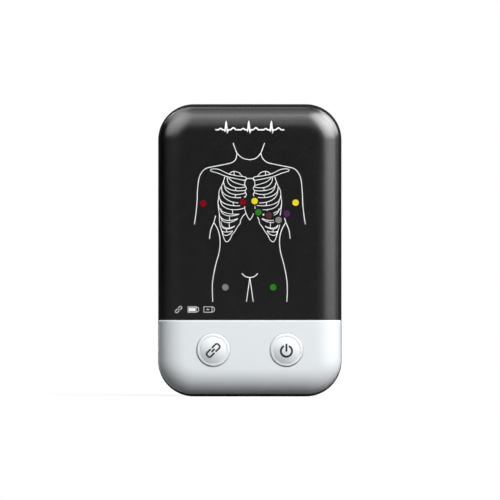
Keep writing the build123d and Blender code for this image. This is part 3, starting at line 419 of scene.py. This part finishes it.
def smooth(points, closed=False):
    """Smooth curve through a few points."""
    last = len(points) - 1
    spans = range(last + 1) if closed else range(last)
    curve = []
    for start in spans:
        if closed:
            ring = [points[(start + shift) % (last + 1)] for shift in (-1, 0, 1, 2)]
        else:
            ring = [points[min(max(start + shift, 0), last)] for shift in (-1, 0, 1, 2)]
        before, here, there, after = [Vector(point) for point in ring]
        for step in range(CURVE_STEPS):
            t = step / CURVE_STEPS
            bend = (2 * before - 5 * here + 4 * there - after) * t * t
            twist = (3 * here - before - 3 * there + after) * t**3
            curve.append((2 * here + (there - before) * t + bend + twist) / 2)
    if not closed:
        curve.append(Vector(points[-1]))
    return curve


def arc(centre, radius, start_deg, end_deg):
    """Part of a circle, by angles from the right, counted upwards."""
    steps = max(ARC_LEAST_STEPS, round(abs(end_deg - start_deg) / ARC_STEP_DEG))
    angles = [math.radians(start_deg + (end_deg - start_deg) * step / steps) for step in range(steps + 1)]
    return [on_circle(centre, radius, angle) for angle in angles]


def on_circle(centre, radius, angle):
    """Point of a circle at an angle."""
    return Vector((centre[0] + radius * math.cos(angle), centre[1] + radius * math.sin(angle)))


def finely(points):
    """Points of a line with none further apart than a small step, so that it follows the surface."""
    line = []
    for here, there in zip(points, points[1:]):
        here, there = Vector(here), Vector(there)
        steps = max(1, math.ceil((there - here).length / FINE_STEP))
        line += [here.lerp(there, step / steps) for step in range(steps)]
    return [*line, Vector(points[-1])]


def window_places():
    """Centre and radius of each electrode window, as seen from the front."""
    places = []
    for name in frame["nodes"]:
        if name.startswith("window_"):
            low, high = [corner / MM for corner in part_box(name)]
            middle = (low + high) / 2
            places.append((Vector((middle.x, middle.z)), (high.x - low.x) / 2))
    return places


WINDOWS = window_places()


def clear_of_windows(point):
    """Whether a point lies outside every electrode window."""
    return all((point - centre).length > radius for centre, radius in WINDOWS)


def last_clear(free, blocked):
    """Point between a free and a blocked one where a window's edge is met."""
    for _ in range(HALVINGS):
        middle = (free + blocked) / 2
        if clear_of_windows(middle):
            free = middle
        else:
            blocked = middle
    return free


def rails(line, half_wide, closed):
    """Left and right points of a line of even width, mitred at its corners."""
    count = len(line)
    pairs = []
    for place, point in enumerate(line):
        before = line[place - 1] if place or closed else point
        after = line[(place + 1) % count] if place + 1 < count or closed else point
        into = (point - before).normalized() if (point - before).length else None
        out_of = (after - point).normalized() if (after - point).length else None
        into = into or out_of
        out_of = out_of or into
        along = (into + out_of).normalized()
        across = Vector((-along.y, along.x))
        reach = half_wide / max(MITRE_LEAST, across.dot(Vector((-into.y, into.x))))
        pairs.append((point + across * reach, point - across * reach))
    return pairs


def round_end(start, end, centre):
    """Half circle that closes a stroke."""
    first = math.atan2(start.y - centre.y, start.x - centre.x)
    angles = [first - math.pi * step / CAP_STEPS for step in range(1, CAP_STEPS)]
    radius = (start - centre).length
    return [start, *[on_circle(centre, radius, angle) for angle in angles], end]


def rounded_place(point):
    """A point's place, rounded so that faces which meet share their corners."""
    return (round(point[0], PLACE_DIGITS), round(point[1], PLACE_DIGITS))


class Print:
    """Thin raised ink on a surface: strokes and filled shapes gathered into one mesh."""

    def __init__(self, name, surface):
        self.name = name
        self.surface = surface
        self.mesh = bmesh.new()
        self.lift = PRINT_LIFT

    def raise_shape(self, outlines):
        """Raise flat faces, given as lists of 2-D points, from the surface, with walls and a foot."""
        rings = [[rounded_place(point) for point in outline] for outline in outlines]
        corners = {}
        for ring in rings:
            for x, z in ring:
                if (x, z) not in corners:
                    face_y = self.surface(x, z)
                    depths = (face_y - self.lift, face_y + PRINT_FOOT)
                    corners[x, z] = [self.mesh.verts.new((x * MM, y * MM, z * MM)) for y in depths]
        edges = {}
        for ring in rings:
            tops, feet = zip(*[corners[place] for place in ring])
            self.mesh.faces.new(tops)
            self.mesh.faces.new(feet[::-1])
            for here, there in zip(ring, ring[1:] + ring[:1]):
                edges.setdefault(frozenset((here, there)), []).append((here, there))
        for sides in edges.values():
            if len(sides) == 1:
                (top, foot), (next_top, next_foot) = [corners[place] for place in sides[0]]
                self.mesh.faces.new((next_top, top, foot, next_foot))

    def stroke(self, points, width, closed=False):
        """Line of even width with round ends, or a closed loop; it stops square where a window lies."""
        if closed:
            points = [*points, points[0]]
        line = finely(points)
        clear = [clear_of_windows(point) for point in line]
        if all(clear):
            self.ribbon(line[:-1] if closed else line, width, closed)
            return
        run = [line[0]] if clear[0] else []
        starts_round = True
        for before, here, was_free, free in zip(line, line[1:], clear, clear[1:]):
            if free and not was_free:
                run = [last_clear(here, before)]
                starts_round = False
            if free:
                run.append(here)
            elif was_free:
                self.ribbon([*run, last_clear(before, here)], width, False, starts_round, False)
                run = []
        if len(run) > 1:
            self.ribbon(run, width, False, starts_round)

    def ribbon(self, line, width, closed, starts_round=True, ends_round=True):
        """Unbroken stretch of a stroke."""
        self.lift += LIFT_STEP
        pairs = rails(line, width / 2, closed)
        spans = list(zip(pairs, pairs[1:]))
        if closed:
            spans.append((pairs[-1], pairs[0]))
        shapes = [[left, right, next_right, next_left] for (left, right), (next_left, next_right) in spans]
        if starts_round and not closed:
            left, right = pairs[0]
            shapes.append(round_end(right, left, line[0]))
        if ends_round and not closed:
            left, right = pairs[-1]
            shapes.append(round_end(left, right, line[-1]))
        self.raise_shape(shapes)

    def bar(self, x, z, wide, tall):
        """Filled rectangle about a centre."""
        left, right = x - wide / 2, x + wide / 2
        low, high = z - tall / 2, z + tall / 2
        self.raise_shape([[(left, high), (left, low), (right, low), (right, high)]])

    def finish(self, ink, body):
        """Make the object, and let it ride on its body."""
        bmesh.ops.recalc_face_normals(self.mesh, faces=self.mesh.faces)
        piece = add_mesh(self.name, self.mesh, ink)
        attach(piece, body)


# Torso figure: half of it, as distance from the middle and height, drawn on both sides
BODY_LINE = 0.3
BONE_LINE = 0.25
NECK = ((0.0, 89.05), (2.4, 89.6), (4.35, 91.4), (5.3, 93.6), (5.85, 95.2))
NECK_SHIFT = -0.37
NECK_SHIFTS = (88.0, 91.4)
SHOULDER_AND_ARM = (
    (4.55, 91.4),
    (4.75, 90.2),
    (5.3, 89.1),
    (6.7, 88.0),
    (9.9, 87.2),
    (14.3, 86.35),
    (16.7, 85.65),
    (18.2, 84.1),
    (19.2, 81.7),
    (19.7, 77.1),
    (19.85, 73.0),
    (20.3, 68.4),
    (20.85, 64.9),
)
INNER_ARM = ((12.9, 67.9), (13.5, 65.6), (14.7, 62.6), (15.15, 59.5))
BODY_SIDE = (
    (13.5, 65.5),
    (11.9, 62.5),
    (11.2, 59.0),
    (11.5, 54.6),
    (13.0, 48.8),
    (14.05, 42.4),
    (13.95, 35.8),
)
GROIN = ((2.9, 46.2), (1.7, 45.15), (0.0, 44.75))
INNER_LEG = ((0.0, 44.7), (0.6, 40.5), (1.25, 35.8))
CLAVICLE = (
    (2.0, 82.65),
    (4.9, 83.0),
    (8.2, 83.8),
    (11.4, 85.3),
    (13.2, 85.6),
    (14.5, 85.45),
    (14.75, 84.95),
    (14.1, 84.6),
    (12.0, 84.0),
    (9.2, 82.9),
    (6.4, 82.15),
    (3.9, 81.65),
    (2.0, 81.35),
    (1.3, 82.0),
)
LUNG_TOP = ((7.75, 83.5), (7.1, 84.3), (5.7, 84.68), (4.0, 84.1), (3.0, 82.9))
LUNG_TICK = ((5.9, 84.6), (5.9, 83.4))
COLLAR_BRIDGE = ((-1.15, 82.0), (1.15, 82.0))
BREASTBONE = (
    (1.15, 81.9),
    (1.8, 80.8),
    (1.85, 79.5),
    (1.3, 78.3),
    (1.8, 77.2),
    (1.3, 76.0),
    (1.75, 74.8),
    (1.75, 72.0),
    (1.95, 70.9),
    (1.5, 69.1),
    (0.8, 67.5),
    (0.0, 66.4),
)
RIB_CAGE = (
    (9.4, 82.6),
    (9.95, 80.9),
    (10.7, 79.0),
    (11.5, 77.4),
    (11.7, 75.2),
    (11.95, 73.0),
    (11.8, 70.8),
    (11.5, 68.7),
    (11.45, 66.6),
    (11.2, 64.4),
    (10.6, 62.3),
    (10.0, 60.2),
    (9.15, 58.4),
    (8.3, 58.3),
    (7.4, 59.3),
    (6.7, 60.8),
    (5.6, 62.2),
    (4.75, 63.7),
    (3.7, 65.1),
    (3.4, 66.5),
    (2.6, 67.8),
    (1.6, 68.9),
)

# Ribs, each two edges and the place of its joint: an edge has its outer end, its inner end and how far
# the inner end dips
RIBS = (
    ((8.5, 82.4, 1.8, 78.8, 1.0), (9.9, 80.9, 1.8, 77.5, 0.6), 5.2),
    ((9.6, 80.1, 1.7, 76.6, 1.6), (10.6, 78.6, 1.8, 75.1, 1.0), 5.4),
    ((10.5, 77.9, 2.0, 72.9, 0.5), (11.5, 75.5, 1.8, 72.0, 0.9), 6.2),
    ((11.0, 74.0, 2.0, 70.9, 1.6), (11.7, 72.0, 4.1, 68.6, 0.3), 6.6),
    ((10.9, 70.6, 4.1, 68.6, 1.5), (11.4, 68.8, 4.7, 66.9, 1.5), 7.6),
    ((10.8, 67.5, 4.6, 66.8, 2.4), (10.8, 65.8, 5.8, 64.1, 1.6), 7.7),
    ((10.5, 64.4, 5.8, 64.0, 1.7), (10.6, 62.6, 6.6, 62.3, 0.8), 8.7),
)
LAST_RIB = (10.2, 62.0, 6.5, 62.2, 2.6)
FIRST_RIB = ((8.0, 82.2), (6.5, 80.9), (4.6, 80.1), (1.9, 79.4))
RIB_LEAN = 0.25
RIB_DROP = 0.75
DROP_FROM_DIP = 0.6


def rib_edge(edge):
    """One edge of a rib: straight down from its outer end, then round to its inner end."""
    outer_x, outer_z, inner_x, inner_z, dip = edge
    drop = RIB_DROP * (outer_z - inner_z) + DROP_FROM_DIP * dip
    handles = (
        Vector((outer_x, outer_z)),
        Vector((outer_x + RIB_LEAN, outer_z - drop)),
        Vector(((outer_x + inner_x) / 2, inner_z - dip)),
        Vector((inner_x, inner_z)),
    )

    def at(t):
        s = 1.0 - t
        weights = (s**3, 3 * s * s * t, 3 * s * t * t, t**3)
        return sum((weight * handle for weight, handle in zip(weights, handles)), Vector((0.0, 0.0)))

    return at


def half_figure():
    """Strokes of one half of the torso figure, with their widths."""
    body = (NECK, SHOULDER_AND_ARM, INNER_ARM, BODY_SIDE, GROIN, INNER_LEG)
    strokes = [(smooth(points), BODY_LINE, False) for points in body]
    bones = (LUNG_TOP, BREASTBONE, RIB_CAGE, FIRST_RIB)
    strokes += [(smooth(points), BONE_LINE, False) for points in bones]
    strokes.append((smooth(CLAVICLE, closed=True), BONE_LINE, True))
    strokes.append((LUNG_TICK, BONE_LINE, False))
    steps = [step / CURVE_STEPS / 2 for step in range(2 * CURVE_STEPS + 1)]
    for upper, lower, joint_x in RIBS:
        joint = []
        for edge in (upper, lower):
            points = [rib_edge(edge)(t) for t in steps]
            strokes.append((points, BONE_LINE, False))
            joint.append(min(points, key=lambda point: abs(point.x - joint_x)))
        strokes.append((joint, BONE_LINE, False))
    last_at = rib_edge(LAST_RIB)
    strokes.append(([last_at(t) for t in steps], BONE_LINE, False))
    return strokes


def neck_shift(z):
    """How far the figure stands to the left at a height: only its neck does."""
    low, high = NECK_SHIFTS
    return NECK_SHIFT * min(max((z - low) / (high - low), 0.0), 1.0)


def torso_figure(ink):
    """White line drawing of a torso and its rib cage, on which the electrode windows lie."""
    figure = Print("torso_figure", panel_y)
    for side in (-1, 1):
        for points, width, closed in half_figure():
            mirrored = [(side * x + neck_shift(z), z) for x, z in points]
            figure.stroke(mirrored, width, closed)
    figure.stroke(COLLAR_BRIDGE, BONE_LINE)
    figure.finish(ink, "housing")


# Status signs on the panel, and the trace above the figure. A battery's cap is drawn from its right side,
# the fill is smaller than its frame by so much, and the charging wave is drawn about its centre.
STATUS_Z = 32.75
STATUS_LINE = 0.18
LINK_SIGN_LINE = 0.22
LINK_SIGN_X = -26.8
LINK_SIGN_SCALE = 0.5
BATTERY_SIGNS_X = (-21.7, -15.75)
BATTERY_SIGN = (3.06, 2.04)
BATTERY_CAP = ((0.0, 0.96), (0.6, 0.8), (0.88, 0.45))
FILL_SHORT_BY = (0.54, 0.72)
CHARGE_WAVE = ((-0.55, -0.1), (-0.1, 0.2), (0.1, -0.2), (0.55, 0.1))
TRACE_Z = 100.3
TRACE_LINE = 0.5
BEAT_LONG = 8.5
BEAT_COUNT = 3

# One beat: distance along it and height, with rounded and sharp waves
BEAT = (
    (0.0, 0.0),
    (1.0, 0.0),
    (1.35, 0.35),
    (1.7, 0.5),
    (2.05, 0.35),
    (2.4, 0.0),
    (3.1, 0.0),
    (3.4, -0.45),
    (3.85, 3.1),
    (4.3, -1.1),
    (4.6, 0.0),
    (5.5, 0.0),
    (6.0, 0.45),
    (6.5, 0.75),
    (7.0, 0.5),
    (7.5, 0.0),
)

# Link sign: two open loops and a dash between them, measured along its own slope
LOOP_NEAR = 0.55
LOOP_FAR = 2.95
LOOP_HALF = 1.0
LOOP_ROUND = 0.75
DASH_HALF = 0.6
LINK_SLOPE_DEG = 45


def link_strokes(x, z, scale):
    """Sloping chain link sign about a centre."""
    slope = math.radians(LINK_SLOPE_DEG)

    def turned(point):
        u, v = point
        turned_x = u * math.cos(slope) - v * math.sin(slope)
        turned_z = u * math.sin(slope) + v * math.cos(slope)
        return (x + scale * turned_x, z + scale * turned_z)

    strokes = [[turned((-DASH_HALF, 0.0)), turned((DASH_HALF, 0.0))]]
    for side in (-1, 1):
        corner_u = LOOP_FAR - LOOP_ROUND
        corner_v = LOOP_HALF - LOOP_ROUND
        loop = [Vector((LOOP_NEAR, LOOP_HALF))]
        loop += arc((corner_u, corner_v), LOOP_ROUND, 90, 0)
        loop += arc((corner_u, -corner_v), LOOP_ROUND, 0, -90)
        loop.append(Vector((LOOP_NEAR, -LOOP_HALF)))
        strokes.append([turned((side * point.x, side * point.y)) for point in loop])
    return strokes


def status_signs(ink):
    """Small white signs: link, full battery, battery on charge; a battery's cap is an open outline."""
    signs = Print("status_signs", panel_y)
    for stroke in link_strokes(LINK_SIGN_X, STATUS_Z, LINK_SIGN_SCALE):
        signs.stroke(stroke, LINK_SIGN_LINE)
    wide, tall = BATTERY_SIGN
    low, high = STATUS_Z - tall / 2, STATUS_Z + tall / 2
    cap = [*BATTERY_CAP, *[(out, -up) for out, up in reversed(BATTERY_CAP)]]
    for x in BATTERY_SIGNS_X:
        left, right = x - wide / 2, x + wide / 2
        signs.stroke([(left, low), (right, low), (right, high), (left, high)], STATUS_LINE, closed=True)
        signs.stroke([(right + out, STATUS_Z + up) for out, up in cap], STATUS_LINE)
    full_x, charging_x = BATTERY_SIGNS_X
    short_wide, short_tall = FILL_SHORT_BY
    signs.bar(full_x, STATUS_Z, wide - short_wide, tall - short_tall)
    signs.stroke([(charging_x + along, STATUS_Z + up) for along, up in CHARGE_WAVE], STATUS_LINE)
    signs.finish(ink, "housing")


def heart_trace(ink):
    """Plain ECG trace line of three beats above the figure."""
    trace = Print("heart_trace", panel_y)
    start_x = -BEAT_LONG * BEAT_COUNT / 2
    points = []
    for beat in range(BEAT_COUNT):
        points += [(start_x + beat * BEAT_LONG + along, TRACE_Z + up) for along, up in BEAT]
    points.append((-start_x, TRACE_Z))
    trace.stroke(points, TRACE_LINE)
    trace.finish(ink, "housing")


# Signs on the buttons
LINK_ICON_LINE = 0.65
LINK_ICON_SHIFT = (-0.03, -0.13)
POWER_RING_R = 2.1
POWER_RING_Z = -0.38
POWER_LINE = 0.74
POWER_GAP_DEG = 33
POWER_BAR = (-0.3, 2.07)


def button_signs(ink):
    """Link and power signs on the buttons' crowns."""
    crown_y, x, z = button_surface("link_button")
    sign = Print("link_button_sign", crown_y)
    shift_x, shift_z = LINK_ICON_SHIFT
    for stroke in link_strokes(x + shift_x, z + shift_z, 1.0):
        sign.stroke(stroke, LINK_ICON_LINE)
    sign.finish(ink, "link_button")

    crown_y, x, z = button_surface("power_button")
    sign = Print("power_button_sign", crown_y)
    sign.stroke(arc((x, z + POWER_RING_Z), POWER_RING_R, 90 - POWER_GAP_DEG, POWER_GAP_DEG - 270), POWER_LINE)
    low, high = POWER_BAR
    sign.stroke([(x, z + low), (x, z + high)], POWER_LINE)
    sign.finish(ink, "power_button")


# Floor: its size, its share of pure white near the object and where that becomes all, and its greys
FLOOR_R = 0.5
FLOOR_SIDES = 96
FLOOR_SHOWS_WHITE = 0.85
FLOOR_FADES = (0.05, 0.2)
FLOOR_IN_GLOSS = 0.1
FLOOR_TO_CAMERA = 0.84
FLOOR_TO_LAMPS = (0.09, 0.11)
FLOOR_CLOUDS_MM = 40.0

# Room: the fill light on matte surfaces, and what gloss sees in front of the object and behind it
FILL = 0.05
FILL_TINT = (0.6, 0.95, 1.0)
WHITE = (1.0, 1.0, 1.0)
ROOM_IN_GLOSS = 0.03
ROOM_FADES = (0.5, 0.95)
BACKDROP_IN_GLOSS = 0.3
BACKDROP_FADES = (0.8, 1.0)


def pale_floor(name):
    """Floor that is white to the camera apart from the object's shadow, and duller to the lamps."""
    shader = new_shader(name)
    camera, gloss, through = shader.rays()
    away = shader.node("ShaderNodeVectorMath", {"operation": "LENGTH"}, {0: shader.place()}, out="Value")
    near, far = FLOOR_FADES
    faded = shader.ramp(away, (near, 0.0), (far, 1.0))
    shown_white = FLOOR_SHOWS_WHITE + faded * (1.0 - FLOOR_SHOWS_WHITE)
    seen = (camera + through) * shown_white + gloss * FLOOR_IN_GLOSS
    darker, paler = [grey(level) for level in FLOOR_TO_LAMPS]
    to_lamps = shader.mix_colour(shader.noise(size_mm=FLOOR_CLOUDS_MM), darker, paler)
    base = shader.mix_colour(camera, to_lamps, grey(FLOOR_TO_CAMERA))
    values = {"Base Color": base, "Roughness": 1.0, "Specular IOR Level": 0.0}
    matte = shader.node("ShaderNodeBsdfPrincipled", None, values)
    white = shader.node("ShaderNodeEmission", None, {"Strength": 1.0})
    mixed = shader.node("ShaderNodeMixShader", None, {0: seen, 1: matte, 2: white})
    shader.node("ShaderNodeOutputMaterial", None, {"Surface": mixed})
    return shader.owner


def floor():
    """Round floor that the object stands on."""
    mesh = bmesh.new()
    bmesh.ops.create_circle(mesh, cap_ends=True, radius=FLOOR_R, segments=FLOOR_SIDES)
    ground = add_mesh("studio_floor", mesh, pale_floor("floor_pale"))


def world():
    """White to the camera, a weak cool fill to matte surfaces, and a dark room with a pale wall in gloss."""
    shader = Shader(bpy.data.worlds.new("studio"))
    direction = shader.node("ShaderNodeTexCoord", out="Generated")
    depth = shader.node("ShaderNodeSeparateXYZ", None, {0: direction}, out="Y")
    near, far = BACKDROP_FADES
    backdrop = shader.ramp(depth, (near, 0.0), (far, 1.0))
    near, far = ROOM_FADES
    room = shader.ramp(0.0 - depth, (near, 0.0), (far, 1.0))
    camera, gloss, through = shader.rays()
    in_gloss = backdrop * BACKDROP_IN_GLOSS + room * ROOM_IN_GLOSS
    lit = gloss * in_gloss + (1.0 - gloss) * FILL
    strength = camera + through + (1.0 - camera - through) * lit
    colour = shader.mix_colour(camera + through + gloss, FILL_TINT, WHITE)
    background = shader.node("ShaderNodeBackground", None, {"Color": colour, "Strength": strength})
    shader.node("ShaderNodeOutputWorld", None, {"Surface": background})
    bpy.context.scene.world = shader.owner


# Lamps, each aimed at the object: degrees off the camera's line, degrees round that line from the right
# upwards, distance, width and height in metres, radiance, and degrees of spread
KEY_SOFTBOX = (55, 60, 0.9, 0.65, 0.65, 5.45, 120)
REAR_SOFTBOX = (166, 115, 0.9, 0.7, 0.6, 2.8, 110)
LEFT_SOFTBOX = (125, 176, 0.9, 0.7, 0.7, 0.75, 110)
CARDS = {
    "top_card": (52, 90, 0.8, 1.0, 1.0, 0.42, 130),
    "top_back_card": (98, 90, 0.8, 1.0, 0.8, 0.14, 110),
    "right_card": (60, 8, 0.8, 0.8, 1.0, 0.25, 90),
    "right_back_card": (98, 5, 0.8, 0.8, 1.0, 0.14, 110),
    "corner_card": (64, 41, 0.9, 1.05, 1.05, 2.05, 90),
    "corner_back_card": (106, 38, 0.9, 0.8, 0.8, 1.4, 90),
    "left_card": (60, 131, 0.9, 1.1, 1.0, 0.8, 90),
    "left_back_card": (108, 118, 0.9, 0.8, 0.8, 0.4, 90),
}


def softbox(name, off_deg, clock_deg, away, wide, tall, radiance, spread_deg):
    """Area lamp that faces the object."""
    data = bpy.data.lights.new(name, "AREA")
    data.shape = "RECTANGLE"
    data.size = wide
    data.size_y = tall
    data.energy = radiance * math.pi * wide * tall
    data.spread = math.radians(spread_deg)
    lamp = add_object(name, data)
    off = math.radians(off_deg)
    clock = math.radians(clock_deg)
    across = math.sin(off)
    towards = Vector((across * math.cos(clock), -math.cos(off), across * math.sin(clock)))
    lamp.location = Vector((0.0, 0.0, CAMERA_Z)) + towards * away
    lamp.rotation_euler = (-towards).to_track_quat("-Z", "Y").to_euler()
    return lamp


def lights():
    """Key and left lamps that only matte surfaces show, a rear lamp, and cards that only gloss shows."""
    softbox("key_softbox", *KEY_SOFTBOX).visible_glossy = False
    softbox("rear_softbox", *REAR_SOFTBOX)
    softbox("left_softbox", *LEFT_SOFTBOX).visible_glossy = False
    for name, settings in CARDS.items():
        softbox(name, *settings).visible_diffuse = False


def aim_camera():
    """Straight-on camera with a long lens."""
    data = bpy.data.cameras.new("camera")
    data.sensor_width = SENSOR_WIDE
    data.lens = SENSOR_WIDE * CAMERA_AWAY / FRAME_WIDE
    data.clip_start, data.clip_end = CAMERA_REACH
    view = add_object("camera", data)
    view.location = (CAMERA_X, -CAMERA_AWAY, CAMERA_Z)
    view.rotation_euler = (math.radians(90), 0.0, 0.0)
    bpy.context.scene.camera = view


aim_camera()
dress_model(make_finishes())
ink_white = printed("ink_white", WHITE_INK)
torso_figure(ink_white)
status_signs(ink_white)
heart_trace(ink_white)
button_signs(printed("ink_dark", DARK_INK))
floor()
world()
lights()
bpy.context.scene.view_settings.view_transform = "Standard"
